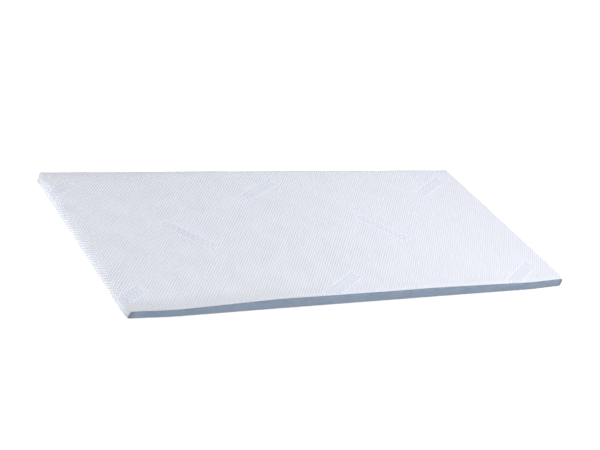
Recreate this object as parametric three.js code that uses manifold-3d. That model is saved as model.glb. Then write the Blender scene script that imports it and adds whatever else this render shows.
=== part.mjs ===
// A roll-up foam mattress, opened out and lying flat. A foam slab fills a knitted cover, which wraps over
// the top, both ends and the underside in one piece. A woven border strip is sewn into each long side.
// Millimetres. +X runs along the mattress, +Y across it to the back and +Z up. The origin is the middle of
// the underside.
import * as THREE from "three";
import { LoftGeometry } from "three/addons/geometries/LoftGeometry.js";
import { mergeVertices } from "three/addons/utils/BufferGeometryUtils.js";
import Module from "manifold-3d";

const wasm = await Module();
wasm.setup();

// The mattress as it is sold.
const LENGTH = 2000;
const WIDTH = 900;
const THICKNESS = 50;

// The soft edge. The top turns down in a wide low roll at the long sides and a narrower one at the ends, and
// the underside turns up in one as wide. A higher squareness makes the corners sharper in plan.
const SIDE_ROLL = 34;
const END_ROLL = 20;
const TOP_ROLL_HEIGHT = 15;
const FOOT_ROLL_HEIGHT = 7;
const SQUARENESS = 4.5;

// The border strips. The foam pushes each one out between its seams.
const BORDER_THICKNESS = 2;
const BORDER_BULGE = 2;
const UPPER_SEAM = 43.5;
const LOWER_SEAM = 3;
const SEAM_GAP = 0.3;

// How the cover sits at each corner: the share of the thickness that is lost there, how far the side and
// the end are drawn in, how high the corner stands up, how far the upper seam sinks, and the degrees round
// the corner that the strip reaches at its lower and its upper seam.
const CORNERS = {
  frontLeft: { thinning: 0.17, sideIn: 8, endIn: 4, ear: 0, seamDrop: 6, lowerWrap: 46, upperWrap: 26 },
  frontRight: { thinning: 0.04, sideIn: 8, endIn: 3, ear: 0, seamDrop: 3, lowerWrap: 40, upperWrap: 46 },
  backLeft: { thinning: 0.01, sideIn: 2, endIn: 2, ear: 3, seamDrop: 3, lowerWrap: 44, upperWrap: 40 },
  backRight: { thinning: 0.01, sideIn: 3, endIn: 3, ear: 3, seamDrop: 4, lowerWrap: 42, upperWrap: 36 },
};
const THINNING_START = 0.4;
const DRAW_IN_START = 0.8;
const EAR_REACH = 60;

// The underside's slight hollow, the top's crown across the middle, and the long low waves in the top.
const HOLLOW = 0.2;
const CROWN = 1;
const WAVES = [
  { height: 0.6, alongTurns: 1.33, acrossTurns: 0.17, phase: 1.68 },
  { height: 0.7, alongTurns: 3.4, acrossTurns: 1.1, phase: 2.1 },
  { height: 0.4, alongTurns: 6.3, acrossTurns: 0.7, phase: 4.4 },
];

// Mesh steps.
const BODY_STEPS = 36;
const CORNER_STEPS = 7;
const ROLL_STEPS = 6;
const FOOT_STEPS = 4;
const WALL_STEPS = 3;
const TOP_STEPS = 8;
const UNDERSIDE_STEPS = 4;
const BORDER_ROWS = 6;

// The inner rectangle that the rolled edge stands out from.
const INNER_X = LENGTH / 2 - END_ROLL;
const INNER_Y = WIDTH / 2 - BORDER_BULGE - SIDE_ROLL;
const TOP_ROLL_START = THICKNESS - TOP_ROLL_HEIGHT;

const FRONT = -1;
const BACK = 1;

const { lerp, smoothstep, clamp, degToRad } = THREE.MathUtils;

// The share from 0 to 1 in equal steps, both ends included.
function shares(count) {
  return Array.from({ length: count + 1 }, (_, i) => i / count);
}

// The other leg of a quarter round of radius 1. A power above 2 makes it squarer.
function otherLeg(leg, power = 2) {
  return Math.max(0, 1 - leg ** power) ** (1 / power);
}

function cornerAt(x, y) {
  if (y < 0) return x < 0 ? CORNERS.frontLeft : CORNERS.frontRight;
  return x < 0 ? CORNERS.backLeft : CORNERS.backRight;
}

// Moves a point of the regular slab to where the cover holds it: thinner and drawn in towards the corners,
// with a low crown and waves in the top. The underside stays level, so the weight is at its four corners.
function settle({ x, y, z }) {
  const corner = cornerAt(x, y);
  const along = x / (LENGTH / 2);
  const across = y / (WIDTH / 2);
  const lift = clamp(z / THICKNESS, 0, 1) ** 2;

  const near = (share) => smoothstep(Math.abs(share), THINNING_START, 1);
  const thinned = z * (1 - corner.thinning * near(along) * near(across));
  const outX = Math.min(1, Math.abs(x) / INNER_X);
  const outY = Math.min(1, Math.abs(y) / INNER_Y);
  const hollow = (1 - lift) * HOLLOW * (1 - (outX ** 2 + outY ** 2) / 2);

  const waves = WAVES.reduce((sum, wave) => {
    const turns = wave.alongTurns * along + wave.acrossTurns * across;
    return sum + wave.height * Math.sin(Math.PI * turns + wave.phase);
  }, 0);
  const ear =
    corner.ear *
    smoothstep(Math.abs(x), LENGTH / 2 - EAR_REACH, LENGTH / 2) *
    smoothstep(Math.abs(y), WIDTH / 2 - EAR_REACH, WIDTH / 2);
  const uneven = lift * (waves - CROWN * across ** 2 + ear);

  const endIn = corner.endIn * smoothstep(Math.abs(across), DRAW_IN_START, 1);
  const sideIn = corner.sideIn * smoothstep(Math.abs(along), DRAW_IN_START, 1);
  return new THREE.Vector3(x - endIn * along ** 3, y - sideIn * across ** 3, thinned + hollow + uneven);
}

// How far out the rolled edge stands at a height, as a share of the roll.
function reachAt(height) {
  const over = clamp((height - TOP_ROLL_START) / TOP_ROLL_HEIGHT, 0, 1);
  const under = clamp((FOOT_ROLL_HEIGHT - height) / FOOT_ROLL_HEIGHT, 0, 1);
  return over > 0 ? otherLeg(over) : otherLeg(under);
}

// The height of the top's and of the underside's skin at a reach.
function topAt(reach) {
  return TOP_ROLL_START + TOP_ROLL_HEIGHT * otherLeg(reach);
}

function undersideAt(reach) {
  return FOOT_ROLL_HEIGHT * (1 - otherLeg(reach));
}

// Half of the slab's section at x, from the middle of the underside out and up to the middle of the top.
function halfSection(x) {
  const past = clamp((Math.abs(x) - INNER_X) / END_ROLL, 0, 1);
  const edgePoint = (reach, height) => {
    const out = reach > past ? reach * otherLeg(past / reach, SQUARENESS) : 0;
    return new THREE.Vector3(x, INNER_Y + SIDE_ROLL * out, height);
  };

  const foot = shares(FOOT_STEPS).map((share) => {
    const reach = Math.max(past, Math.sin((share * Math.PI) / 2));
    return edgePoint(reach, undersideAt(reach));
  });
  const wall = shares(WALL_STEPS)
    .slice(1, -1)
    .map((share) => edgePoint(1, lerp(FOOT_ROLL_HEIGHT, TOP_ROLL_START, share)));
  const roll = shares(ROLL_STEPS).map((share) => {
    const reach = Math.max(past, Math.cos((share * Math.PI) / 2));
    return edgePoint(reach, topAt(reach));
  });

  const underside = shares(UNDERSIDE_STEPS)
    .slice(0, -1)
    .map((share) => new THREE.Vector3(x, foot[0].y * share, foot[0].z));
  const top = shares(TOP_STEPS)
    .slice(0, -1)
    .reverse()
    .map((share) => new THREE.Vector3(x, roll.at(-1).y * share, roll.at(-1).z));
  return [...underside, ...foot, ...wall, ...roll, ...top];
}

// A closed solid lofted through sections.
function loft(sections) {
  const skin = new LoftGeometry(sections, { capStart: true, capEnd: true });
  const bare = new THREE.BufferGeometry();
  bare.setAttribute("position", skin.attributes.position);
  bare.setIndex(skin.index);
  const merged = mergeVertices(bare, 1e-3);
  const vertProperties = merged.attributes.position.array;
  const triVerts = new Uint32Array(merged.index.array);
  return new wasm.Manifold(new wasm.Mesh({ numProp: 3, vertProperties, triVerts }));
}

// The foam-filled cover as one slab, its ends rolled like its sides.
function slab() {
  const end = shares(CORNER_STEPS)
    .slice(1)
    .map((share) => INNER_X + END_ROLL * Math.sin((share * Math.PI) / 2));
  const straight = shares(BODY_STEPS).map((share) => lerp(-INNER_X, INNER_X, share));
  const places = [...end.map((x) => -x).reverse(), ...straight, ...end];
  const sections = places.map((x) => {
    const half = halfSection(x);
    const mirrored = half
      .slice(1, -1)
      .reverse()
      .map((point) => new THREE.Vector3(x, -point.y, point.z));
    return [...half, ...mirrored].map(settle);
  });
  return loft(sections);
}

// A point of a long side's skin, moved inwards by a depth. The angle turns round the corner at x, and is 0
// where the side runs straight.
function sidePoint(side, x, angle, height, depth) {
  const ray = new THREE.Vector2(Math.sin(angle), Math.cos(angle));
  const length = (Math.abs(ray.x) ** SQUARENESS + ray.y ** SQUARENESS) ** (1 / SQUARENESS);
  ray.divideScalar(length);
  const outward = new THREE.Vector2(
    (Math.sign(ray.x) * Math.abs(ray.x) ** (SQUARENESS - 1)) / END_ROLL,
    ray.y ** (SQUARENESS - 1) / SIDE_ROLL,
  ).normalize();
  const reach = reachAt(height);
  return settle({
    x: x + END_ROLL * reach * ray.x - depth * outward.x,
    y: side * (INNER_Y + SIDE_ROLL * reach * ray.y - depth * outward.y),
    z: height,
  });
}

// A solid along a long side, between its seams and round to its ends. A margin grows it by one more step at
// its edges. Its outer and inner depths are functions of the share of the height between the seams.
function alongSide(side, margin, outerDepth, innerDepth) {
  const turns = shares(CORNER_STEPS).slice(1);
  const rows = shares(BORDER_ROWS);
  if (margin > 0) {
    const seamHeight = UPPER_SEAM - LOWER_SEAM;
    turns.push(1 + (2 * margin) / END_ROLL);
    rows.push(1 + margin / seamHeight);
    rows.unshift(-margin / seamHeight);
  }
  const stations = [
    ...turns.map((turn) => ({ x: -INNER_X, turn: -turn })).reverse(),
    ...shares(BODY_STEPS).map((share) => ({ x: lerp(-INNER_X, INNER_X, share), turn: 0 })),
    ...turns.map((turn) => ({ x: INNER_X, turn })),
  ];
  const sections = stations.map(({ x, turn }) => {
    const corner = cornerAt(x, side);
    const sunk = corner.seamDrop * smoothstep(Math.abs(x) / INNER_X, THINNING_START, 0.9);
    const at = (share, depth) => {
      const wrap = degToRad(lerp(corner.lowerWrap, corner.upperWrap, share));
      const height = lerp(LOWER_SEAM, UPPER_SEAM - sunk, share);
      return sidePoint(side, x, turn * wrap, height, depth(share));
    };
    const inner = rows.map((share) => at(share, innerDepth));
    const outer = rows.map((share) => at(share, outerDepth)).reverse();
    return side === FRONT ? [...inner, ...outer] : [...inner, ...outer].reverse();
  });
  return loft(sections);
}

const bulge = (share) => -BORDER_BULGE * Math.sin(Math.PI * share);
const clearOfSkin = () => -1.5 * BORDER_BULGE;
const underBorder = (share) => bulge(share) + BORDER_THICKNESS;
const recessFloor = (share) => underBorder(share) + SEAM_GAP;

function border(side) {
  return alongSide(side, 0, bulge, underBorder);
}

function recess(side) {
  return alongSide(side, SEAM_GAP, clearOfSkin, recessFloor);
}

const knit = new THREE.MeshStandardMaterial({ color: 0xe4e7ef, roughness: 0.9, metalness: 0 });
const borderCloth = new THREE.MeshStandardMaterial({ color: 0x8799b3, roughness: 0.85, metalness: 0 });

function part(name, solid, material) {
  const { vertProperties, triVerts } = solid.getMesh();
  const geometry = new THREE.BufferGeometry();
  geometry.setAttribute("position", new THREE.BufferAttribute(vertProperties, 3));
  geometry.setIndex(new THREE.BufferAttribute(triVerts, 1));
  geometry.computeVertexNormals();
  const mesh = new THREE.Mesh(geometry, material);
  mesh.name = name;
  return mesh;
}

const mattress = new THREE.Group();
mattress.add(
  part("filled_cover", slab().subtract(recess(FRONT)).subtract(recess(BACK)), knit),
  part("border_front", border(FRONT), borderCloth),
  part("border_back", border(BACK), borderCloth),
);

export default mattress;
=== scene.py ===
"""A roll-up foam mattress, opened out and lying flat on a studio floor.

Lengths are in metres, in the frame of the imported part: +X along the mattress, +Y across it to the back
and +Z up.
"""

import math

import bpy
import numpy as np
from mathutils import Matrix, Vector


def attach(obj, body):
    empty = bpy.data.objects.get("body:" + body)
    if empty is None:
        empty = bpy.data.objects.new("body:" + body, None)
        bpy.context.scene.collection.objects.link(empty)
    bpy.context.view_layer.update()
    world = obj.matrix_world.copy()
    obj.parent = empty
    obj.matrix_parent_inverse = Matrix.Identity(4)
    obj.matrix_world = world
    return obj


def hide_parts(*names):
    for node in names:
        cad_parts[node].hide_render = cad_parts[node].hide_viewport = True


bl_info = {
    "name": "Roll-up foam mattress",
    "version": (1, 0, 0),
    "blender": (4, 5, 0),
    "location": "3D View > Sidebar > Mattress",
    "description": "Makes a foam mattress in a knitted cover with a border strip along each long side",
    "category": "Object",
}

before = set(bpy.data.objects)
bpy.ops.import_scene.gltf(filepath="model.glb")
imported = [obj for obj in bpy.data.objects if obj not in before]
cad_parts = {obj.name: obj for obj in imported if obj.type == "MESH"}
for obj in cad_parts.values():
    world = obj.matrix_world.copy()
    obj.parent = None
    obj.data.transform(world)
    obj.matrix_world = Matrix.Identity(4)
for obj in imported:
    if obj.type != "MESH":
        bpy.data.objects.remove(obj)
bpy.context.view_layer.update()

MM = 0.001
LENGTH, WIDTH, THICKNESS = 2.0, 0.9, 0.05

# The rolled edge: its width at the long sides and at the ends, the heights of its upper and its lower
# turn, and the power that squares its quarter rounds.
SIDE_ROLL, END_ROLL = 34 * MM, 20 * MM
TOP_ROLL_HEIGHT, FOOT_ROLL_HEIGHT = 15 * MM, 7 * MM
TOP_ROLL_START = THICKNESS - TOP_ROLL_HEIGHT
SQUARENESS = 4.5

# The border strips and the heights of their seams.
BORDER_BULGE = 2 * MM
BORDER_THICKNESS = 1.6 * MM
BORDER_GAP = 0.3 * MM
UPPER_SEAM, LOWER_SEAM = 43.5 * MM, 3 * MM

# A strip's edge sinks by this share of the seam's depth, and the knit tucks in under it within this way.
STRIP_SINK, TUCK_REACH = 0.6, 0.35 * MM

# The upper seam's drop at a corner is full from this share of the half length on. It goes over from the
# front corner's to the back corner's within this share of the half width, either way from the middle.
DROP_END, DROP_CHANGE = 0.9, 0.6

# The gathers at a seam: share of the height, length, phase, and phase by side, plus at the back.
GATHERS = (
    (0.5, 47 * MM, 0, 1.3),
    (0.3, 31 * MM, 2.0, 0),
    (0.2, 83 * MM, 0.6, 0),
)
COVER_GATHER_REACH, STRIP_GATHER_REACH = 12 * MM, 9 * MM

# The inner rectangle that the rolled edge stands out from.
INNER_X = LENGTH / 2 - END_ROLL
INNER_Y = WIDTH / 2 - BORDER_BULGE - SIDE_ROLL

# How the cover sits at the corners front left, front right, back left and back right.
CORNERS = {
    "thinning": (0.17, 0.04, 0.01, 0.01),
    "side_in": (8 * MM, 8 * MM, 2 * MM, 3 * MM),
    "end_in": (4 * MM, 3 * MM, 2 * MM, 3 * MM),
    "ear": (0, 0, 3 * MM, 3 * MM),
    "seam_drop": (6 * MM, 3 * MM, 3 * MM, 4 * MM),
    "lower_wrap": np.radians((46, 40, 44, 42)),
    "upper_wrap": np.radians((26, 46, 40, 36)),
}
# Where thinning and drawing in start, as shares of the half length and width, and the ear's reach.
THINNING_START, DRAW_IN_START, EAR_REACH = 0.4, 0.8, 60 * MM
# The underside's hollow and the top's crown.
HOLLOW, CROWN = 0.2 * MM, 1 * MM

# The long low waves in the top: height, half turns along, half turns across, phase.
WAVES = (
    (0.6 * MM, 1.33, 0.17, 1.68),
    (0.7 * MM, 3.4, 1.1, 2.1),
    (0.4 * MM, 6.3, 0.7, 4.4),
)

# Grid steps: along, across, round a corner up to the strip's end, round it past that, down the roll,
# between the seams, down the foot.
FINE_STEPS = (256, 104, 9, 7, 11, 20, 7)
COARSE_STEPS = (96, 42, 3, 3, 5, 6, 3)

# The rows between the seams lie closer together at the seams.
SEAM_CROWDING = 0.75

# The loop coordinate grows by this once round: by 1 for each of four sides and four corners.
ONCE_ROUND = 8.0

# The cover's simulation: its frames, the held way beside a seam, and the row where the foam's hold ends.
SWELL_FRAMES, SEAM_HOLD, HOLD_FADE_END = 20, 4 * MM, 0.5

# The knit's diamonds: turns per metre along and across, and the power that shapes their puffs.
DIAMONDS, PUFF_POWER = (84, 70), 0.8

# The sprigs: their repeat along and across, and for each slant the centre and the angle in degrees.
SPRIG_REPEAT = (0.895, 0.676)
SPRIGS = (((-0.105, 0.284), 31), ((0.318, -0.029), -53))

# A leaf: its lean in degrees, and in shares of the sprig's width its middle's way out and half its size.
LEAF_LEAN, LEAF_OUT = 40, 0.28
LEAF_HALF_LENGTH, LEAF_HALF_WIDTH = 0.27, 0.11

# A leaf's thread fades between these squares of the way to its edge, and inside this share is missing.
LEAF_OUTSIDE, LEAF_INSIDE, MISSING_INSIDE = (0.9, 1.3), (0.3, 0.7), 0.85
STEM_EDGE = (0.9 * MM, 1.8 * MM)

# In the field round a sprig the puffs lose this share of their height, and this much is added.
FIELD_LOSS, FIELD_HEIGHT = 0.65, 0.3
SPRIG_END_FADE, FIELD_FADE = 0.5 * MM, 8 * MM

# The pitch of the knit's courses by that of its wales, the scales of its noises, and its fibres' height.
COURSE_PITCH = 1.25
KNIT_CLOUD_SCALE, FIBRE_SCALE, FIBRE_HEIGHT = 9.0, 900.0, 0.12 * MM

# How much the stitches and the clouds shade the knit, and the noise levels between which a cloud sets in.
STITCH_SHADE, CLOUD_SHADE, CLOUD_EDGE = 0.12, 0.25, (0.3, 0.7)

# Changes along the mattress: the places where each starts and ends, and its strength at both.
# The painted shade between the diamonds is full at the left and falls to half at the right end.
VALLEY_SHADE_FADE = (-0.6, 1.0, 1.0, 0.5)
# The painted shade beside the seams is full towards the left end and falls to a fifth by the middle.
SEAM_SHADE_FADE = (-0.8, 0.0, 1.0, 0.2)
# The painted highlight at the border's upper seam grows from 0.15 at the left to full at the right.
SEAM_HIGHLIGHT_GROWTH = (-0.9, 0.9, 0.15, 1.0)

# The border's twill: its slant, its picks' pitch by that of its ribs, and the ribs' share of the weave.
TWILL_SLANT, PICK_PITCH, RIB_SHARE = 0.8, 0.7, 0.65
YARN_SCALES, STREAK_SCALES, BORDER_CLOUD_SCALE = (60.0, 700.0), (25.0, 90.0), 14.0
YARN_HEIGHT = 0.1 * MM

# The shares of weave, yarns and streaks in the border's tone, and how its dusty clouds set in.
TONE_SHARES = (0.5, 0.2, 0.3)
DUSTY_EDGE, DUSTY_SHARE = (0.35, 0.7), 0.35

# The painted highlight is full within this way of the upper seam, and sets in between these levels of the
# streaks.
SEAM_HIGHLIGHT_FULL, SEAM_HIGHLIGHT_EDGE = 2 * MM, (0.35, 0.6)

# The painted shade at the lower seam sets in between these ways down the strip, and that at the ends between
# these ways from them.
LOWER_PART, END_SHADE_WAYS = (20 * MM, 30 * MM), (22 * MM, 18 * MM)

# The knit's roughness with what a puff and a fibre add, and the border's with what its weave takes off.
KNIT_ROUGHNESS, BORDER_ROUGHNESS = (0.78, 0.06, 0.08), (0.92, 0.1)

# Half the floor's side, its drop under the mattress, the sine of the angle above which the sky has its own
# strength, and the camera's sensor in millimetres.
FLOOR_HALF, FLOOR_DROP, HORIZON_BAND, SENSOR_WIDTH = 30.0, 0.5 * MM, 0.35, 36


# Shared formulas
def smoothstep(value, low, high):
    """0 below low, 1 above high, and between them three squares of the share less two of its cubes."""
    share = np.clip((value - low) / (high - low), 0, 1)
    return share * share * (3 - 2 * share)


def lerp(start, end, share):
    """start at share 0, end at share 1, and in step between them."""
    return start + (end - start) * share


def at_corner(name, x, y):
    """One corner setting at each place: that of the corner whose quarter of the mattress it is in."""
    front_left, front_right, back_left, back_right = CORNERS[name]
    return np.where(
        y < 0, np.where(x < 0, front_left, front_right), np.where(x < 0, back_left, back_right)
    )


def settle(points):
    """Moves points of the regular slab to where the cover holds them.

    Towards a corner the height shrinks by its thinning, the side and the end draw in, and the top stands
    up by its ear. The underside is hollow by a hair. The top has a low crown and long sine waves, which
    fade with the square of the height.
    """
    x, y, z = points[..., 0], points[..., 1], points[..., 2]
    along, across = x / (LENGTH / 2), y / (WIDTH / 2)
    lift = np.clip(z / THICKNESS, 0, 1) ** 2
    near = smoothstep(np.abs(along), THINNING_START, 1) * smoothstep(np.abs(across), THINNING_START, 1)
    thinned = z * (1 - at_corner("thinning", x, y) * near)
    out_x = np.minimum(1, np.abs(x) / INNER_X)
    out_y = np.minimum(1, np.abs(y) / INNER_Y)
    hollow = (1 - lift) * HOLLOW * (1 - (out_x**2 + out_y**2) / 2)
    waves = sum(
        height * np.sin(math.pi * (turns_x * along + turns_y * across) + phase)
        for height, turns_x, turns_y, phase in WAVES
    )
    ear = (
        at_corner("ear", x, y)
        * smoothstep(np.abs(x), LENGTH / 2 - EAR_REACH, LENGTH / 2)
        * smoothstep(np.abs(y), WIDTH / 2 - EAR_REACH, WIDTH / 2)
    )
    uneven = lift * (waves - CROWN * across**2 + ear)
    end_in = at_corner("end_in", x, y) * smoothstep(np.abs(across), DRAW_IN_START, 1)
    side_in = at_corner("side_in", x, y) * smoothstep(np.abs(along), DRAW_IN_START, 1)
    return np.stack(
        [x - end_in * along**3, y - side_in * across**3, thinned + hollow + uneven], axis=-1
    )


# The rolled edge
def edge_loop(steps):
    """The stations once round the inner rectangle, counter-clockwise from the front left corner.

    Each has its place on the inner rectangle as grid indices, the signs of the corner it belongs to, its
    turn (0 on a long side, 1 at a strip's end, 2 on an end) and a loop coordinate that grows by 1 along
    each side or corner.
    """
    along, across, to_strip_end, past_strip_end = steps[:4]
    turns = np.concatenate(
        [
            np.sin(np.arange(1, to_strip_end + 1) / to_strip_end * math.pi / 2),
            2 - np.cos(np.arange(1, past_strip_end) / past_strip_end * math.pi / 2),
        ]
    )
    sides = (
        (np.arange(along + 1), 0, 0, (1, -1), 1),
        (along, np.arange(across + 1), 2, (1, 1), -1),
        (np.arange(along, -1, -1), across, 0, (-1, 1), 1),
        (0, np.arange(across, -1, -1), 2, (-1, -1), -1),
    )
    stations = []
    for number, (column, row, turn, signs, way) in enumerate(sides):
        column, row = np.broadcast_arrays(column, row)
        count = len(column)
        sign_x = np.where(column * 2 < along, -1, 1)
        sign_y = np.where(row * 2 < across, -1, 1)
        share = np.arange(count) / (count - 1)
        stations.append([column, row, sign_x, sign_y, np.full(count, turn), 2 * number + share])
        corner_turns = turns if way > 0 else turns[::-1]
        share = corner_turns / 2 if way > 0 else 1 - corner_turns / 2
        fan = [np.full(len(turns), value) for value in (column[-1], row[-1], *signs)]
        stations.append([*fan, corner_turns, 2 * number + 1 + share])
    names = ("column", "row", "sign_x", "sign_y", "turn", "loop")
    return dict(zip(names, (np.concatenate(values) for values in zip(*stations))))


def edge_rows(steps):
    """The rows of the edge: 0 at the top, 1 at the upper seam, 2 at the lower seam and 3 underneath."""
    roll, wall, foot = steps[4:]
    between = np.arange(wall + 1) / wall
    crowded = lerp(between, (1 - np.cos(math.pi * between)) / 2, SEAM_CROWDING)
    upper = np.arange(roll) / roll
    return np.concatenate([upper, 1 + crowded, 2 + np.arange(1, foot + 1) / foot])


def edge_surface(rows, stations, depth=0.0):
    """Points of the rolled edge, on a grid of rows by stations, before they settle.

    In plan, each height has a squared quarter round: the two shares of the roll's width, each to the
    power of SQUARENESS, add up to that power of the reach. Above the wall the reach is the cosine of the
    angle whose sine is the height's share of the top roll. Below the wall it is the sine of the angle
    whose cosine is one less the height's share of the foot roll. A depth moves a point along the inward
    normal.

    Also returns the share of the height between the seams, and the way outwards in plan.
    """
    inner_x, inner_y = stations["x"][None, :], stations["y"][None, :]
    sign_x, sign_y = stations["sign_x"][None, :], stations["sign_y"][None, :]
    turn = stations["turn"][None, :]
    row = rows[:, None]

    back_share = smoothstep(inner_y / INNER_Y, -DROP_CHANGE, DROP_CHANGE)
    front_drop = at_corner("seam_drop", sign_x, -1)
    back_drop = at_corner("seam_drop", sign_x, 1)
    drop = lerp(front_drop, back_drop, back_share)
    upper_seam = UPPER_SEAM - drop * smoothstep(np.abs(inner_x) / INNER_X, THINNING_START, DROP_END)

    share = np.clip(2 - row, 0, 1) * np.ones_like(upper_seam)
    seam_angle = np.arcsin(np.clip((upper_seam - TOP_ROLL_START) / TOP_ROLL_HEIGHT, 0, 1))
    roll_height = TOP_ROLL_START + TOP_ROLL_HEIGHT * np.sin(
        lerp(math.pi / 2, seam_angle, np.clip(row, 0, 1))
    )
    lower_angle = math.acos(1 - LOWER_SEAM / FOOT_ROLL_HEIGHT)
    foot_height = FOOT_ROLL_HEIGHT * (1 - np.cos(lerp(lower_angle, 0, np.clip(row - 2, 0, 1))))
    height = np.where(
        row < 1, roll_height, np.where(row > 2, foot_height, lerp(LOWER_SEAM, upper_seam, share))
    )

    over = np.clip((height - TOP_ROLL_START) / TOP_ROLL_HEIGHT, 0, 1)
    under = np.clip((FOOT_ROLL_HEIGHT - height) / FOOT_ROLL_HEIGHT, 0, 1)
    reach = np.sqrt(1 - np.where(over > 0, over, under) ** 2)

    lower_wrap = at_corner("lower_wrap", sign_x, sign_y)
    upper_wrap = at_corner("upper_wrap", sign_x, sign_y)
    wrap = lerp(lower_wrap, upper_wrap, share)
    angle = np.where(turn <= 1, turn * wrap, wrap + (turn - 1) * (math.pi / 2 - wrap))
    ray_x, ray_y = np.sin(angle), np.where(turn == 2, 0, np.cos(angle))
    norm = (ray_x**SQUARENESS + ray_y**SQUARENESS) ** (1 / SQUARENESS)
    ray_x, ray_y = ray_x / norm, ray_y / norm
    out_x = ray_x ** (SQUARENESS - 1) / END_ROLL
    out_y = ray_y ** (SQUARENESS - 1) / SIDE_ROLL
    norm = np.hypot(out_x, out_y)
    out_x, out_y = out_x / norm, out_y / norm

    width = END_ROLL * ray_x * out_x + SIDE_ROLL * ray_y * out_y
    level = np.where(over > 0, TOP_ROLL_HEIGHT, FOOT_ROLL_HEIGHT) * reach
    upright = width * (over - under)
    norm = np.hypot(level, upright)
    level, upright = level / norm, upright / norm

    x = inner_x + sign_x * (END_ROLL * reach * ray_x - depth * level * out_x)
    y = inner_y + sign_y * (SIDE_ROLL * reach * ray_y - depth * level * out_y)
    z = height - depth * upright
    plan = np.stack([sign_x * END_ROLL * ray_x, sign_y * SIDE_ROLL * ray_y], axis=-1)
    plan = plan / np.linalg.norm(plan, axis=-1, keepdims=True)
    return np.stack([x, y, z], axis=-1), share, plan


def corner_stations():
    """The four stations where a strip ends."""
    sign_x, sign_y = np.array([-1, 1, -1, 1]), np.array([-1, -1, 1, 1])
    return {
        "x": sign_x * INNER_X,
        "y": sign_y * INNER_Y,
        "sign_x": sign_x,
        "sign_y": sign_y,
        "turn": np.ones(4),
    }


def down_the_edge(skin):
    """The way down the skin from its first row: the sum of the steps between the rows."""
    step = np.linalg.norm(np.diff(skin, axis=0), axis=-1)
    return np.concatenate([np.zeros((1, step.shape[1])), np.cumsum(step, axis=0)])


def inside_strip(rows, stations, skin):
    """How far a point of the skin is inside the strip's outline: negative outside it.

    It is the least of the ways to the upper seam, to the lower seam and to the nearest end of a strip.
    """
    way = down_the_edge(skin)
    upper = way[np.argmin(np.abs(rows - 1))]
    lower = way[np.argmin(np.abs(rows - 2))]
    ends, _, _ = edge_surface(rows, corner_stations())
    to_end = np.linalg.norm(skin[:, :, None] - ends[:, None], axis=-1).min(axis=-1)
    to_end = np.where(stations["turn"][None, :] <= 1, to_end, -to_end)
    return np.minimum(np.minimum(way - upper, lower - way), to_end)


def pucker(skin, distance, height, reach):
    """Small gathers beside a seam: sines of the way round the mattress, which fade away from the seam."""
    round_way = skin[..., 0] + np.sign(skin[..., 0]) * (WIDTH / 2 - np.abs(skin[..., 1]))
    side = np.sign(skin[..., 1])
    gathers = sum(
        share * np.sin(2 * math.pi * round_way / length + phase + side_phase * side)
        for share, length, phase, side_phase in GATHERS
    )
    return height * gathers * np.exp(-np.abs(distance) / reach)


def strip_depth(shape, share, distance):
    """How deep the strip's outside lies under the skin.

    It is sunk at its edges, and proud between them by the bulge times the sine of half a turn from seam
    to seam.
    """
    rise = 1 - np.exp(-((np.maximum(distance, 0) / shape.seam_reach) ** 2))
    return lerp(STRIP_SINK * shape.seam_depth, -BORDER_BULGE * np.sin(math.pi * share), rise)


def cover_depth(shape, share, distance):
    """How deep the knit lies under the skin: a rounded valley at the seam, and clear below the strip."""
    valley = shape.seam_depth * np.exp(-((distance / shape.seam_reach) ** 2))
    under = strip_depth(shape, share, distance) + BORDER_THICKNESS + BORDER_GAP
    tucked = smoothstep(distance, 0, TUCK_REACH)
    return lerp(valley, np.maximum(under, valley), tucked)


# Meshes
def cell_corners(grid, closed=False):
    """The four corners of each cell of a grid. A closed grid joins its last column to its first."""
    if closed:
        grid = np.concatenate([grid, grid[:, :1]], axis=1)
    around = [grid[:-1, :-1], grid[1:, :-1], grid[1:, 1:], grid[:-1, 1:]]
    return np.stack(around, axis=2).reshape(-1, 4, *grid.shape[2:])


def new_mesh_object(name, points, faces, weave=None, seam_way=None):
    """An object at the origin from points and four-cornered faces.

    A face with two equal corners is made a triangle. weave is the flat-cloth coordinate of each corner of
    each face, and seam_way the way from each point to the nearest seam.
    """
    points = np.asarray(points).reshape(-1, 3)
    following = np.roll(faces, -1, axis=1)
    collapsed = faces == following
    whole = ~collapsed.any(axis=1)
    quads, corners = faces[whole], faces[~whole]
    keep = ~collapsed[~whole]
    keep[keep.sum(axis=1) != 3] = False
    triangles = corners[keep].reshape(-1, 3)
    mesh = bpy.data.meshes.new(name)
    mesh.from_pydata(points.tolist(), [], quads.tolist() + triangles.tolist())
    if weave is not None:
        flat = np.concatenate([weave[whole].reshape(-1, 2), weave[~whole][keep].reshape(-1, 2)])
        attribute = mesh.attributes.new("weave", "FLOAT_VECTOR", "CORNER")
        attribute.data.foreach_set("vector", np.c_[flat, np.zeros(len(flat))].ravel())
        mesh.attributes.new("seam_way", "FLOAT", "POINT").data.foreach_set("value", seam_way.ravel())
    mesh.polygons.foreach_set("use_smooth", np.ones(len(mesh.polygons), bool))
    mesh.update()
    if mesh.validate():
        raise RuntimeError(f"{name} has faces that don't hold")
    made = bpy.data.objects.new(name, mesh)
    bpy.context.scene.collection.objects.link(made)
    return made


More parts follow.
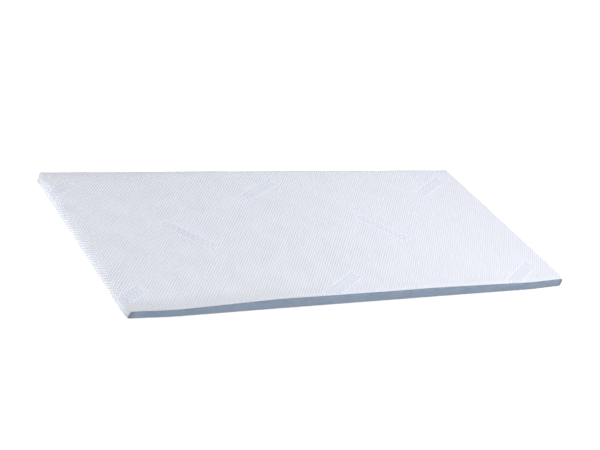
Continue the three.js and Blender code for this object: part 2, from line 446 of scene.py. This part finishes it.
def cover_surface(steps, shape, with_seams=True):
    """The whole cover: two flat grids, one on top and one underneath, and the rolled edge between them.

    Returns the points as three grids, the vertex numbers of each grid, and the edge's stations and rows.
    """
    along, across = steps[:2]
    x, y = np.meshgrid(
        np.linspace(-INNER_X, INNER_X, along + 1),
        np.linspace(-INNER_Y, INNER_Y, across + 1),
        indexing="ij",
    )
    top = np.stack([x, y, np.full_like(x, THICKNESS)], axis=-1)
    bottom = np.stack([x, y, np.zeros_like(x)], axis=-1)

    stations, rows = edge_loop(steps), edge_rows(steps)
    stations["x"] = x[stations["column"], 0]
    stations["y"] = y[0, stations["row"]]
    skin, share, plan = edge_surface(rows, stations)
    distance = inside_strip(rows, stations, skin)
    if with_seams:
        depth = cover_depth(shape, share, distance)
        gathers = pucker(skin, distance, shape.pucker_height, COVER_GATHER_REACH)
        depth = depth + gathers * (distance < 0)
        depth[0] = depth[-1] = 0
        edge, _, _ = edge_surface(rows, stations, depth)
    else:
        edge = skin

    top_ids = np.arange(top[..., 0].size).reshape(x.shape)
    bottom_ids = top_ids + top_ids.size
    inner_ids = 2 * top_ids.size + np.arange(edge[1:-1, :, 0].size).reshape(len(rows) - 2, -1)
    first = top_ids[stations["column"], stations["row"]][None, :]
    last = bottom_ids[stations["column"], stations["row"]][None, :]
    edge_ids = np.concatenate([first, inner_ids, last])
    return {
        "flat": np.stack([x, y], axis=-1),
        "top": settle(top),
        "bottom": settle(bottom),
        "edge": settle(edge),
        "top_ids": top_ids,
        "bottom_ids": bottom_ids,
        "edge_ids": edge_ids,
        "stations": stations,
        "rows": rows,
        "skin": skin,
        "plan": plan,
        "distance": distance,
    }


def cover_points(surface):
    """The cover's vertices in the order of their numbers."""
    grids = (surface["top"], surface["bottom"], surface["edge"][1:-1])
    return np.concatenate([grid.reshape(-1, 3) for grid in grids])


def cover_faces(surface):
    """The cover's faces: the top, the underside, and the edge in two bands that meet at the lower seam.

    Also returns the number of the lower seam's row.
    """
    lower_seam = int(np.argmin(np.abs(surface["rows"] - 2)))
    faces = (
        cell_corners(surface["top_ids"]),
        cell_corners(surface["bottom_ids"])[:, ::-1],
        cell_corners(surface["edge_ids"][: lower_seam + 1], closed=True),
        cell_corners(surface["edge_ids"][lower_seam:], closed=True),
    )
    return np.concatenate(faces), lower_seam


def cover_seam_way(surface):
    """The way from each vertex of the cover to the nearest seam, which goes on over the flats."""
    away = -surface["distance"]
    flats = [
        away[row, surface["stations"]["turn"] == 0].mean() + INNER_Y - np.abs(surface[name][..., 1])
        for name, row in (("top", 0), ("bottom", -1))
    ]
    return np.concatenate([*(flat.ravel() for flat in flats), away[1:-1].ravel()])


def cover_weave(surface, lower_seam):
    """Where each face corner lies on the flat cloth: along and across, in metres.

    On top it is the place itself, and down the edge it goes on by the way down. Underneath, the cloth
    that came over the right end goes on, so along counts back from there. Also returns the way once round
    the cloth.
    """
    stations, skin, plan = surface["stations"], surface["skin"], surface["plan"]
    way = down_the_edge(skin)
    whole = way[-1]
    end_way = whole[stations["turn"] == 2].mean()
    inner = np.stack([stations["x"], stations["y"]], axis=-1)[None]
    flat_top = inner + way[..., None] * plan
    flat_under = inner + (whole - way)[..., None] * plan
    turned = 2 * INNER_X + end_way
    flat_under[..., 0] = turned - flat_under[..., 0]
    top = cell_corners(surface["flat"])
    under = cell_corners(surface["flat"] * (-1, 1) + (turned, 0))[:, ::-1]
    upper = cell_corners(flat_top[: lower_seam + 1], closed=True)
    lower = cell_corners(flat_under[lower_seam:], closed=True)
    return np.concatenate([top, under, upper, lower]), 2 * (INNER_X + turned)


def swell(shape):
    """How far the foam pushes the cover out, from a cloth simulation of a coarse cover.

    The seams and what lies on the floor are held, the flats follow the foam, and the rolled edge is free
    while pressure fills it. Returns the coarse surface and how far each of its points moved.
    """
    surface = cover_surface(COARSE_STEPS, shape, with_seams=False)
    points, (faces, _) = cover_points(surface), cover_faces(surface)
    held = np.full(len(points), shape.foam_hold)
    held[surface["bottom_ids"].ravel()] = 1
    edge_held = np.where(surface["distance"] > -SEAM_HOLD, 1.0, 0.0)
    edge_held[surface["rows"] > 2] = 1
    faded = smoothstep(surface["rows"][:, None], 0, HOLD_FADE_END)
    edge_held = np.maximum(edge_held, shape.foam_hold * (1 - faded))
    held[surface["edge_ids"][1:-1].ravel()] = edge_held[1:-1].ravel()
    trial = new_mesh_object("swelling_cover", points, faces)
    group = trial.vertex_groups.new(name="held")
    for level in np.unique(held.round(3)):
        if level > 0:
            group.add(np.flatnonzero(held.round(3) == level).tolist(), float(level), "REPLACE")
    cloth = trial.modifiers.new("swell", "CLOTH")
    settings = cloth.settings
    settings.quality = 6
    settings.mass = 0.3
    settings.tension_stiffness = settings.compression_stiffness = 15
    settings.shear_stiffness = 5
    settings.bending_stiffness = 0.5
    settings.use_pressure = True
    settings.uniform_pressure_force = shape.pressure
    settings.effector_weights.gravity = 0
    settings.vertex_group_mass = "held"
    settings.pin_stiffness = 1.0
    cloth.collision_settings.use_collision = False
    scene = bpy.context.scene
    cloth.point_cache.frame_start, cloth.point_cache.frame_end = 1, SWELL_FRAMES
    for number in range(1, SWELL_FRAMES + 1):
        scene.frame_set(number)
    filled = trial.evaluated_get(bpy.context.evaluated_depsgraph_get()).data
    moved = np.empty(len(points) * 3, np.float32)
    filled.vertices.foreach_get("co", moved)
    moved = moved.reshape(-1, 3) - points
    bpy.data.objects.remove(trial)
    scene.frame_set(1)
    if not np.isfinite(moved).all():
        raise RuntimeError("the cover's simulation ran away")
    way = np.linalg.norm(moved, axis=-1, keepdims=True)
    moved *= np.minimum(1, shape.swell_limit / np.maximum(way, 1e-9))
    return surface, moved


def blend_matrix(wanted, known):
    """The weights that read wanted places off values at known places, straight between neighbours."""
    after = np.clip(np.searchsorted(known, wanted), 1, len(known) - 1)
    share = (wanted - known[after - 1]) / (known[after] - known[after - 1])
    weights = np.zeros((len(wanted), len(known)))
    rows = np.arange(len(wanted))
    weights[rows, after - 1] = 1 - share
    weights[rows, after] = share
    return weights


def spread_swell(fine, coarse, moved):
    """Adds the coarse cover's swelling to the fine one, straight between the coarse grid's neighbours."""
    for name in ("top", "bottom"):
        ids, wide = coarse[name + "_ids"], fine[name + "_ids"].shape
        columns = blend_matrix(np.linspace(0, 1, wide[0]), np.linspace(0, 1, ids.shape[0]))
        rows = blend_matrix(np.linspace(0, 1, wide[1]), np.linspace(0, 1, ids.shape[1]))
        fine[name] = fine[name] + np.einsum("ic,jr,crk->ijk", columns, rows, moved[ids])
    ids = np.concatenate([coarse["edge_ids"], coarse["edge_ids"][:, :1]], axis=1)
    loop = np.append(coarse["stations"]["loop"], ONCE_ROUND)
    columns = blend_matrix(fine["stations"]["loop"], loop)
    rows = blend_matrix(fine["rows"], coarse["rows"])
    fine["edge"] = fine["edge"] + np.einsum("ir,jc,rck->ijk", rows, columns, moved[ids])


def make_cover(shape):
    """The knitted cover with its foam, from the fine grids, the seams and the simulated swelling.

    Returns the object and the way once round its cloth.
    """
    surface = cover_surface(FINE_STEPS, shape)
    coarse, moved = swell(shape)
    spread_swell(surface, coarse, moved)
    faces, lower_seam = cover_faces(surface)
    weave, cloth_round = cover_weave(surface, lower_seam)
    points, seam_way = cover_points(surface), cover_seam_way(surface)
    return new_mesh_object("mattress_cover", points, faces, weave, seam_way), cloth_round


def make_strip(name, side, shape):
    """A border strip: a grid between its seams, from end to end, with an even thickness inwards.

    Returns the object and its flat width and length.
    """
    along, _, to_end = FINE_STEPS[:3]
    turns = np.sin(np.arange(1, to_end + 1) / to_end * math.pi / 2)
    straight = np.linspace(-INNER_X, INNER_X, along + 1)
    x = np.concatenate([np.full(to_end, -INNER_X), straight, np.full(to_end, INNER_X)])
    stations = {
        "x": x,
        "y": np.full(len(x), side * INNER_Y),
        "sign_x": np.where(x < 0, -1, 1),
        "sign_y": np.full(len(x), side),
        "turn": np.concatenate([turns[::-1], np.zeros(along + 1), turns]),
    }
    rows = edge_rows(FINE_STEPS)
    rows = rows[(rows >= 1) & (rows <= 2)]
    skin, share, _ = edge_surface(rows, stations)
    distance = inside_strip(rows, stations, skin)
    gathers = pucker(skin, distance, shape.pucker_height, STRIP_GATHER_REACH)
    depth = strip_depth(shape, share, distance) + gathers
    outer = edge_surface(rows, stations, depth)[0]
    inner = edge_surface(rows, stations, depth + BORDER_THICKNESS)[0]
    points = settle(np.concatenate([outer, inner[::-1]]))
    ids = np.arange(points[..., 0].size).reshape(points.shape[:2])
    count = len(rows)
    rims = np.stack([ids[:count], ids[count:][::-1]], axis=-1)
    grids = (np.concatenate([ids, ids[:1]]), rims[:, 0].T, rims[:, -1])
    faces = np.concatenate([cell_corners(grid) for grid in grids])

    run = np.concatenate([[0], np.cumsum(np.linalg.norm(np.diff(skin[count // 2], axis=0), axis=-1))])
    run = run - run.mean()
    way = down_the_edge(skin)
    run = np.broadcast_to(run, way.shape)
    flat = np.stack([run, way], axis=-1)
    flat = np.concatenate([flat, flat[::-1]]).reshape(-1, 2)
    if side > 0:
        faces = faces[:, ::-1]
    seam_way = np.concatenate([distance, distance[::-1]])
    made = new_mesh_object(name, points, faces, flat[faces], seam_way)
    return made, float(way[-1].mean()), float(np.ptp(run[0]))


# Materials
def math_node(operation):
    """A method that takes its terms into a Math node and gives the socket of the result."""

    def apply(self, *others):
        values = dict(enumerate((self, *others)))
        return self.nodes.add("ShaderNodeMath", {"operation": operation}, values)

    return apply


class Term:
    """A socket that takes part in sums: each operation adds a node and gives the socket of its result."""

    def __init__(self, nodes, socket):
        self.nodes, self.socket = nodes, socket

    __add__ = math_node("ADD")
    __sub__ = math_node("SUBTRACT")
    __mul__ = math_node("MULTIPLY")
    __truediv__ = math_node("DIVIDE")
    __pow__ = math_node("POWER")
    __abs__ = math_node("ABSOLUTE")
    sine = math_node("SINE")
    fraction = math_node("FRACT")
    most = math_node("MAXIMUM")

    def __rsub__(self, other):
        return self.nodes.add("ShaderNodeMath", {"operation": "SUBTRACT"}, {0: other, 1: self})

    def ramp(self, low, high, start=0.0, end=1.0):
        """start below low and end above high, with a smooth step between them."""
        inputs = {"Value": self, "From Min": low, "From Max": high, "To Min": start, "To Max": end}
        return self.nodes.add("ShaderNodeMapRange", {"interpolation_type": "SMOOTHSTEP"}, inputs)


class Cloth:
    """A material of one Principled shader, whose nodes are added from terms."""

    def __init__(self, name, constants):
        self.material = bpy.data.materials.new(name)
        self.material.use_nodes = True
        self.tree = self.material.node_tree
        self.tree.nodes.clear()
        self.shader = self.tree.nodes.new("ShaderNodeBsdfPrincipled")
        output = self.tree.nodes.new("ShaderNodeOutputMaterial")
        self.tree.links.new(self.shader.outputs["BSDF"], output.inputs["Surface"])
        for socket, value in constants.items():
            self.shader.inputs[socket].default_value = value

    def add(self, kind, settings=None, inputs=None, output=0):
        """A node with its settings and its sockets' values or links. Gives one of its outputs."""
        node = self.tree.nodes.new(kind)
        for setting, value in (settings or {}).items():
            setattr(node, setting, value)
        for socket, value in (inputs or {}).items():
            self.feed(node.inputs[socket], value)
        return Term(self, node.outputs[output])

    def feed(self, socket, value):
        if isinstance(value, Term):
            self.tree.links.new(value.socket, socket)
        else:
            socket.default_value = value

    def weave(self):
        """The place on the flat cloth, along and across."""
        place = self.add("ShaderNodeAttribute", {"attribute_name": "weave"}, output="Vector")
        parts = (self.add("ShaderNodeSeparateXYZ", None, {0: place}, axis) for axis in "XY")
        return place, *parts

    def stretch(self, place, along, across):
        """A place with its two directions scaled apart."""
        inputs = {0: place, 1: (along, across, 1.0)}
        return self.add("ShaderNodeVectorMath", {"operation": "MULTIPLY"}, inputs, "Vector")

    def seam_way(self):
        """The way to the nearest seam."""
        return self.add("ShaderNodeAttribute", {"attribute_name": "seam_way"}, output="Fac")

    def noise(self, place, scale, detail=2.0, roughness=0.5):
        inputs = {"Vector": place, "Scale": scale, "Detail": detail, "Roughness": roughness}
        return self.add("ShaderNodeTexNoise", None, inputs)

    def mix(self, share, first, second):
        """The first colour at share 0 and the second at share 1."""
        return self.add("ShaderNodeMix", {"data_type": "RGBA"}, {0: share, 6: first, 7: second}, 2)

    def finish(self, colour, height, roughness):
        """Feeds the shader. The height is in metres."""
        self.feed(self.shader.inputs["Base Color"], colour)
        self.feed(self.shader.inputs["Roughness"], roughness)
        bump = {"Strength": 1.0, "Distance": 1.0, "Height": height}
        self.feed(self.shader.inputs["Normal"], self.add("ShaderNodeBump", None, bump, "Normal"))
        return self.material


def sprig(along, across, centre, angle, look):
    """Sprigs of one slant: where their threads show, how high they stand, and the field round each.

    The cloth's place is wrapped to the repeat round the centre and turned to the slant. The leaves repeat
    along the stem, and each pair is one ellipse in the folded place. A leaf's height is a dome on its
    ellipse.
    """
    repeat_x, repeat_y = SPRIG_REPEAT
    cell_x = ((along - centre[0]) / repeat_x + 0.5).fraction() * repeat_x - repeat_x / 2
    cell_y = ((across - centre[1]) / repeat_y + 0.5).fraction() * repeat_y - repeat_y / 2
    cos, sin = math.cos(angle), math.sin(angle)
    stem = cell_x * cos + cell_y * sin
    off = abs(cell_y * cos - cell_x * sin)
    leaf = ((stem / look.leaf_pitch + 0.5).fraction() - 0.5) * look.leaf_pitch
    half = look.leaf_pairs * look.leaf_pitch / 2
    lean = math.radians(LEAF_LEAN)
    outward = off - LEAF_OUT * look.sprig_width
    long_way = (leaf * math.cos(lean) + outward * math.sin(lean)) / (LEAF_HALF_LENGTH * look.sprig_width)
    short_way = (outward * math.cos(lean) - leaf * math.sin(lean)) / (LEAF_HALF_WIDTH * look.sprig_width)
    leaf_round = long_way * long_way + short_way * short_way
    inside = abs(stem).ramp(half - SPRIG_END_FADE, half, 1, 0)
    outline = leaf_round.ramp(*LEAF_OUTSIDE, 1, 0) - leaf_round.ramp(*LEAF_INSIDE, 1, 0) * MISSING_INSIDE
    thread = outline.most(off.ramp(*STEM_EDGE, 1, 0)) * inside
    dome = (1 - leaf_round).most(0) ** 0.5 * inside
    field_end = abs(stem).ramp(half, half + FIELD_FADE, 1, 0)
    field = off.ramp(look.sprig_width / 2, look.sprig_width / 2 + FIELD_FADE, 1, 0) * field_end
    return thread, dome, field


def knit_material(look, cloth_round):
    """White double knit: puffed diamonds, fine stitches, soft unevenness and pale woven sprigs."""
    sheen = {"Sheen Weight": 0.12, "Sheen Roughness": 0.5}
    cloth = Cloth("cover_knit", {"Metallic": 0.0, "Specular IOR Level": 0.25, **sheen})
    place, along, across = cloth.weave()
    turns_x = round(DIAMONDS[0] * cloth_round) / cloth_round
    up = (along * turns_x + across * DIAMONDS[1]) * math.pi
    down = (along * turns_x - across * DIAMONDS[1]) * math.pi
    puff = (abs(up.sine()) * abs(down.sine())) ** PUFF_POWER

    wale = (along * (2 * math.pi / look.stitch)).sine()
    course = (across * (2 * math.pi / (COURSE_PITCH * look.stitch))).sine()
    stitches = wale * course * 0.5 + 0.5
    cloud = cloth.noise(place, KNIT_CLOUD_SCALE, detail=3.0)
    fibre = cloth.noise(place, FIBRE_SCALE)

    slants = [sprig(along, across, centre, math.radians(angle), look) for centre, angle in SPRIGS]
    thread, dome, field = (one.most(other) for one, other in zip(*slants))
    puff = puff * (1 - field * FIELD_LOSS) + field * FIELD_HEIGHT

    # Painted shade: the lines between the diamonds and the stitches' hollows are darkened towards the valley
    # shade tint, less so to the right.
    valley = tuple(channel * (1 - look.diamond_shade) for channel in look.valley_shade_tint[:3]) + (1,)
    depth = (1 - puff - (stitches - 0.5) * STITCH_SHADE) * along.ramp(*VALLEY_SHADE_FADE)
    ground = cloth.mix(depth, tuple(look.white), valley)
    ground = cloth.mix(cloud.ramp(*CLOUD_EDGE) * CLOUD_SHADE, ground, tuple(look.shade))
    # Painted shade: the knit greys beside the seams, most at the left end.
    painted_seam_shade = cloth.seam_way().ramp(0, look.seam_shade_reach, 1, 0) * along.ramp(*SEAM_SHADE_FADE)
    ground = cloth.mix(painted_seam_shade * look.seam_shade, ground, tuple(look.seam_shade_colour))
    colour = cloth.mix(thread * look.sprig_strength, ground, tuple(look.sprig_blue))

    height = (
        puff * look.diamond_height
        + stitches * look.stitch_height
        + fibre * FIBRE_HEIGHT
        + dome * look.sprig_height
    )
    level, of_puff, of_fibre = KNIT_ROUGHNESS
    roughness = puff * of_puff + fibre * of_fibre + level
    return cloth.finish(colour, height, roughness)


def border_material(look, half_length):
    """Blue-grey twill: fine slanting ribs and heathered yarns along the strip.

    Painted shade deepens its tone at the lower seam and the ends, and a painted highlight lies in streaky
    patches along the upper seam, more of it to the right.
    """
    sheen = {"Sheen Weight": 0.15, "Sheen Roughness": 0.45}
    cloth = Cloth("border_cloth", {"Metallic": 0.0, "Specular IOR Level": 0.3, **sheen})
    place, along, across = cloth.weave()
    seam_way = cloth.seam_way()
    ribs = ((along + across * TWILL_SLANT) * (2 * math.pi / look.twill)).sine() * 0.5 + 0.5
    picks = (across * (2 * math.pi / (PICK_PITCH * look.twill))).sine() * 0.5 + 0.5
    yarns, streaks = (
        cloth.noise(cloth.stretch(place, *scales), 1.0, detail=3.0, roughness=0.6)
        for scales in (YARN_SCALES, STREAK_SCALES)
    )
    cloud = cloth.noise(place, BORDER_CLOUD_SCALE, detail=3.0)
    weave = ribs * RIB_SHARE + picks * (1 - RIB_SHARE)
    of_weave, of_yarns, of_streaks = TONE_SHARES
    tone = weave * of_weave + yarns * of_yarns + streaks.ramp(*CLOUD_EDGE) * of_streaks
    ground = cloth.mix(tone, tuple(look.blue_deep), tuple(look.blue))
    ground = cloth.mix(cloud.ramp(*DUSTY_EDGE) * DUSTY_SHARE, ground, tuple(look.blue_dusty))

    # Painted highlight: lighter streaky patches along the upper seam, where the strip leans out, more to the
    # right.
    upper = across.ramp(SEAM_HIGHLIGHT_FULL, look.seam_highlight_reach, 1, 0) * along.ramp(*SEAM_HIGHLIGHT_GROWTH)
    seam_highlight = upper * streaks.ramp(*SEAM_HIGHLIGHT_EDGE) * look.seam_highlight
    ground = cloth.mix(seam_highlight, ground, tuple(look.seam_highlight_colour))
    # Painted shade: darker along the lower seam and at the strip's ends.
    lower_edge_shade = seam_way.ramp(0, look.end_shade_reach, 1, 0) * across.ramp(*LOWER_PART)
    strip_end_shade = abs(along).ramp(*(half_length - way for way in END_SHADE_WAYS))
    colour = cloth.mix(lower_edge_shade.most(strip_end_shade) * look.end_shade, ground, tuple(look.end_shade_colour))

    height = weave * look.twill_height + yarns * YARN_HEIGHT
    level, of_weave = BORDER_ROUGHNESS
    return cloth.finish(colour, height, level - weave * of_weave)


def floor_material(look):
    """A plain white studio floor that glows a little, so that it stays white."""
    white = {"Base Color": (0.97, 0.97, 0.97, 1), "Roughness": 1.0, "Specular IOR Level": 0.0}
    glow = {"Emission Color": (1, 1, 1, 1), "Emission Strength": look.floor_glow}
    return Cloth("studio_floor", {**white, **glow}).material


# Settings that a user would change
def number_setting(name, description, default, low, high, **more):
    return bpy.props.FloatProperty(
        name=name, description=description, default=default, min=low, max=high, **more
    )


def length_setting(*values):
    return number_setting(*values, precision=4, unit="LENGTH", subtype="DISTANCE")


def colour_setting(name, description, default):
    return bpy.props.FloatVectorProperty(
        name=name, description=description, default=(*default, 1.0), size=4, min=0, max=1, subtype="COLOR"
    )


class MattressShape(bpy.types.PropertyGroup):
    seam_depth: length_setting("Seam depth", "How deep the seams pull in", 1.6 * MM, 0, 4 * MM)
    seam_reach: length_setting(
        "Seam reach", "How far from a seam the cloth dips", 3.2 * MM, 1 * MM, 10 * MM
    )
    pucker_height: length_setting(
        "Pucker height", "How high the gathers at a seam stand", 0.3 * MM, 0, 2 * MM
    )
    pressure: number_setting("Foam pressure", "How hard the foam fills the cover", 4.0, 0, 20)
    foam_hold: number_setting("Foam hold", "How firmly the flat cover follows the foam", 0.6, 0, 1)
    swell_limit: length_setting(
        "Swell limit", "The farthest that the foam moves the cover", 2.5 * MM, 0, 10 * MM
    )


class KnitLook(bpy.types.PropertyGroup):
    white: colour_setting("White", "The knit's colour on the puffed diamonds", (0.895, 0.917, 0.995))
    # Painted shade: the tone that the lines between the diamonds are darkened towards.
    valley_shade_tint: colour_setting("Valley tint", "The knit's tone between the diamonds", (0.885, 0.915, 1.0))
    shade: colour_setting("Shade", "The knit's colour in its cloudy patches", (0.81, 0.84, 0.92))
    sprig_blue: colour_setting("Sprig blue", "The colour of the woven sprigs", (0.40, 0.50, 0.63))
    sprig_strength: number_setting("Sprig strength", "How strongly the sprigs show", 0.68, 0, 1)
    leaf_pairs: bpy.props.IntProperty(
        name="Leaf pairs",
        description="How many pairs of leaves a sprig has, an odd number",
        default=11,
        min=1,
        max=25,
    )
    sprig_width: length_setting("Sprig width", "The width of a sprig", 0.046, 0.01, 0.2)
    sprig_height: length_setting("Sprig height", "How far a leaf stands up", 2 * MM, 0, 3 * MM)
    leaf_pitch: length_setting(
        "Leaf pitch", "The way from one pair of leaves to the next", 0.0205, 0.005, 0.1
    )
    diamond_height: length_setting("Diamond height", "How far the diamonds puff up", 2.4 * MM, 0, 3 * MM)
    # How strongly painted shade darkens the lines between the diamonds.
    diamond_shade: number_setting(
        "Diamond shade", "How much darker the lines between the diamonds are", 0.4, 0, 1
    )
    # Painted shade: the knit greys beside the seams, in this colour, this strongly and this far.
    seam_shade_colour: colour_setting("Seam grey", "The knit's colour close to a seam", (0.60, 0.62, 0.67))
    seam_shade: number_setting("Seam shade", "How much the knit greys at a seam", 0.8, 0, 1)
    seam_shade_reach: length_setting(
        "Seam shade reach", "How far from a seam the knit greys", 72 * MM, 1 * MM, 200 * MM
    )
    stitch: length_setting("Stitch", "The width of a stitch", 1.15 * MM, 0.3 * MM, 5 * MM)
    stitch_height: length_setting("Stitch height", "How far a stitch stands up", 0.2 * MM, 0, 1 * MM)


class BorderLook(bpy.types.PropertyGroup):
    blue: colour_setting("Blue", "The border's colour on its ribs", (0.204, 0.262, 0.338))
    blue_deep: colour_setting("Deep blue", "The border's colour between its ribs", (0.131, 0.174, 0.242))
    blue_dusty: colour_setting(
        "Dusty blue", "The border's colour in its cloudy patches", (0.219, 0.264, 0.329)
    )
    # Painted highlight: the colour, strength and reach of the lighter patches at the upper seam.
    seam_highlight_colour: colour_setting(
        "Dust", "The border's colour in the patches at its upper seam", (0.55, 0.61, 0.68)
    )
    seam_highlight: number_setting("Dust strength", "How strongly those patches show", 0.12, 0, 1)
    seam_highlight_reach: length_setting(
        "Dust reach", "How far down from the upper seam they go", 16 * MM, 1 * MM, 50 * MM
    )
    # Painted shade: the colour, strength and reach of the darkening at the ends and the lower seam.
    end_shade_colour: colour_setting(
        "Turned-in cloth", "The border's colour at its ends and lower seam", (0.15, 0.14, 0.15)
    )
    end_shade: number_setting("Turned-in shade", "How strongly that shows", 0.5, 0, 1)
    end_shade_reach: length_setting(
        "Turned-in reach", "How far in from the seams it goes", 18 * MM, 1 * MM, 50 * MM
    )
    twill: length_setting("Twill pitch", "The way from one rib to the next", 1.5 * MM, 0.3 * MM, 5 * MM)
    twill_height: length_setting("Twill height", "How far a rib stands up", 0.18 * MM, 0, 1 * MM)


class StudioLook(bpy.types.PropertyGroup):
    lens: number_setting(
        "Lens", "The camera's focal length in millimetres, on a sensor 36 mm wide", 76.42, 10, 300
    )
    aim: bpy.props.FloatVectorProperty(
        name="Aim",
        description="The place that the camera aims at",
        default=(-0.064, 0.0132, 0.05),
        subtype="XYZ",
    )
    distance: length_setting("Distance", "From the camera to what it aims at", 5.0089, 1, 30)
    azimuth: number_setting("Azimuth", "Degrees round the mattress, from the front", -38.655, -180, 180)
    elevation: number_setting("Elevation", "Degrees above the floor", 27.615, 1, 90)
    roll: number_setting("Roll", "Degrees that the camera's right side is raised", 18.399, -90, 90)
    sky: number_setting("Sky", "The strength of the even light from all round", 0.4, 0, 5)
    horizon: number_setting("Horizon", "The strength of the light from level with the floor", 1.0, 0, 5)
    overhead: number_setting(
        "Overhead light", "The power of the soft light above, in watts", 187.0, 0, 1000
    )
    left: number_setting(
        "Left light", "The power of the soft light at the left end, in watts", 27.0, 0, 1000
    )
    floor_glow: number_setting("Floor glow", "The light that the floor gives off", 0.5, 0, 2)


# Operators
class MATTRESS_OT_cover(bpy.types.Operator):
    """Makes the knitted cover with its foam"""

    bl_idname = "mattress.cover"
    bl_label = "Make the cover"

    def execute(self, context):
        cover, cloth_round = make_cover(context.scene.mattress_shape)
        cover.data.materials.append(knit_material(context.scene.knit_look, cloth_round))
        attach(cover, "root")
        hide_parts("filled_cover")
        return {"FINISHED"}


class MATTRESS_OT_borders(bpy.types.Operator):
    """Makes the border strips of the two long sides"""

    bl_idname = "mattress.borders"
    bl_label = "Make the border strips"

    def execute(self, context):
        for place, side in (("front", -1), ("back", 1)):
            strip, wide, long = make_strip("border_strip_" + place, side, context.scene.mattress_shape)
            strip.data.materials.append(border_material(context.scene.border_look, long / 2))
            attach(strip, "root")
            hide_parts("border_" + place)
        return {"FINISHED"}


class MATTRESS_OT_studio(bpy.types.Operator):
    """Makes the floor, the lights and the camera"""

    bl_idname = "mattress.studio"
    bl_label = "Make the studio"

    def execute(self, context):
        look, scene = context.scene.studio_look, context.scene
        corners = FLOOR_HALF * np.array([[-1, -1], [1, -1], [1, 1], [-1, 1]])
        ground = np.c_[corners, np.full(4, -FLOOR_DROP)]
        floor = new_mesh_object("studio_floor", ground, np.array([[0, 1, 2, 3]]))
        floor.data.materials.append(floor_material(look))

        world = bpy.data.worlds.new("studio")
        world.use_nodes = True
        nodes, links = world.node_tree.nodes, world.node_tree.links
        background = nodes["Background"]
        background.inputs["Color"].default_value = (1, 1, 1, 1)
        steep = nodes.new("ShaderNodeSeparateXYZ")
        place = nodes.new("ShaderNodeTexCoord")
        brightness = nodes.new("ShaderNodeMapRange")
        for socket, value in (("From Max", HORIZON_BAND), ("To Min", look.horizon), ("To Max", look.sky)):
            brightness.inputs[socket].default_value = value
        links.new(place.outputs["Generated"], steep.inputs[0])
        links.new(steep.outputs["Z"], brightness.inputs["Value"])
        links.new(brightness.outputs[0], background.inputs["Strength"])
        scene.world = world

        lights = (
            ("overhead_light", look.overhead, 2.2, (0.8, -1.6, 4.4), (0.0, 0.0, 0.0)),
            ("left_light", look.left, 1.4, (-3.2, 0.9, 0.55), (-1.0, 0.0, 0.0)),
        )
        for name, power, size, place, target in lights:
            lamp = bpy.data.lights.new(name, "AREA")
            lamp.energy, lamp.size = power, size
            light = bpy.data.objects.new(name, lamp)
            light.location = place
            light.rotation_mode = "QUATERNION"
            light.rotation_quaternion = (Vector(target) - Vector(place)).to_track_quat("-Z", "Y")
            scene.collection.objects.link(light)

        camera = bpy.data.objects.new("camera", bpy.data.cameras.new("camera"))
        camera.data.lens, camera.data.sensor_width = look.lens, SENSOR_WIDTH
        camera.data.clip_start, camera.data.clip_end = 0.05, 200
        angles = (look.azimuth, look.elevation, look.roll)
        azimuth, elevation, roll = (math.radians(angle) for angle in angles)
        outward = math.cos(elevation)
        back = Vector((math.sin(azimuth) * outward, -math.cos(azimuth) * outward, math.sin(elevation)))
        level = Vector((math.cos(azimuth), math.sin(azimuth), 0))
        right = level * math.cos(roll) + back.cross(level) * math.sin(roll)
        turn = Matrix((right, back.cross(right), back)).transposed()
        camera.matrix_world = Matrix.Translation(Vector(look.aim) + back * look.distance) @ turn.to_4x4()
        scene.collection.objects.link(camera)
        scene.camera = camera
        scene.view_settings.view_transform = "Standard"
        return {"FINISHED"}


class MATTRESS_PT_panel(bpy.types.Panel):
    """The mattress's settings and buttons"""

    bl_idname = "MATTRESS_PT_panel"
    bl_label = "Roll-up foam mattress"
    bl_space_type = "VIEW_3D"
    bl_region_type = "UI"
    bl_category = "Mattress"

    def draw(self, context):
        for group, operators in PANEL_ROWS:
            box = self.layout.box()
            settings = getattr(context.scene, group)
            for name in settings.__annotations__:
                box.prop(settings, name)
            for operator in operators:
                box.operator(operator)


PANEL_ROWS = (
    ("mattress_shape", ("mattress.cover",)),
    ("knit_look", ()),
    ("border_look", ("mattress.borders",)),
    ("studio_look", ("mattress.studio",)),
)
SETTINGS = {
    "mattress_shape": MattressShape,
    "knit_look": KnitLook,
    "border_look": BorderLook,
    "studio_look": StudioLook,
}
CLASSES = (*SETTINGS.values(), MATTRESS_OT_cover, MATTRESS_OT_borders, MATTRESS_OT_studio, MATTRESS_PT_panel)


def register():
    for made in CLASSES:
        bpy.utils.register_class(made)
    for name, group in SETTINGS.items():
        setattr(bpy.types.Scene, name, bpy.props.PointerProperty(type=group))


def unregister():
    for name in SETTINGS:
        delattr(bpy.types.Scene, name)
    for made in reversed(CLASSES):
        bpy.utils.unregister_class(made)


def main():
    register()
    bpy.ops.mattress.cover()
    bpy.ops.mattress.borders()
    bpy.ops.mattress.studio()


if __name__ == "__main__":
    main()
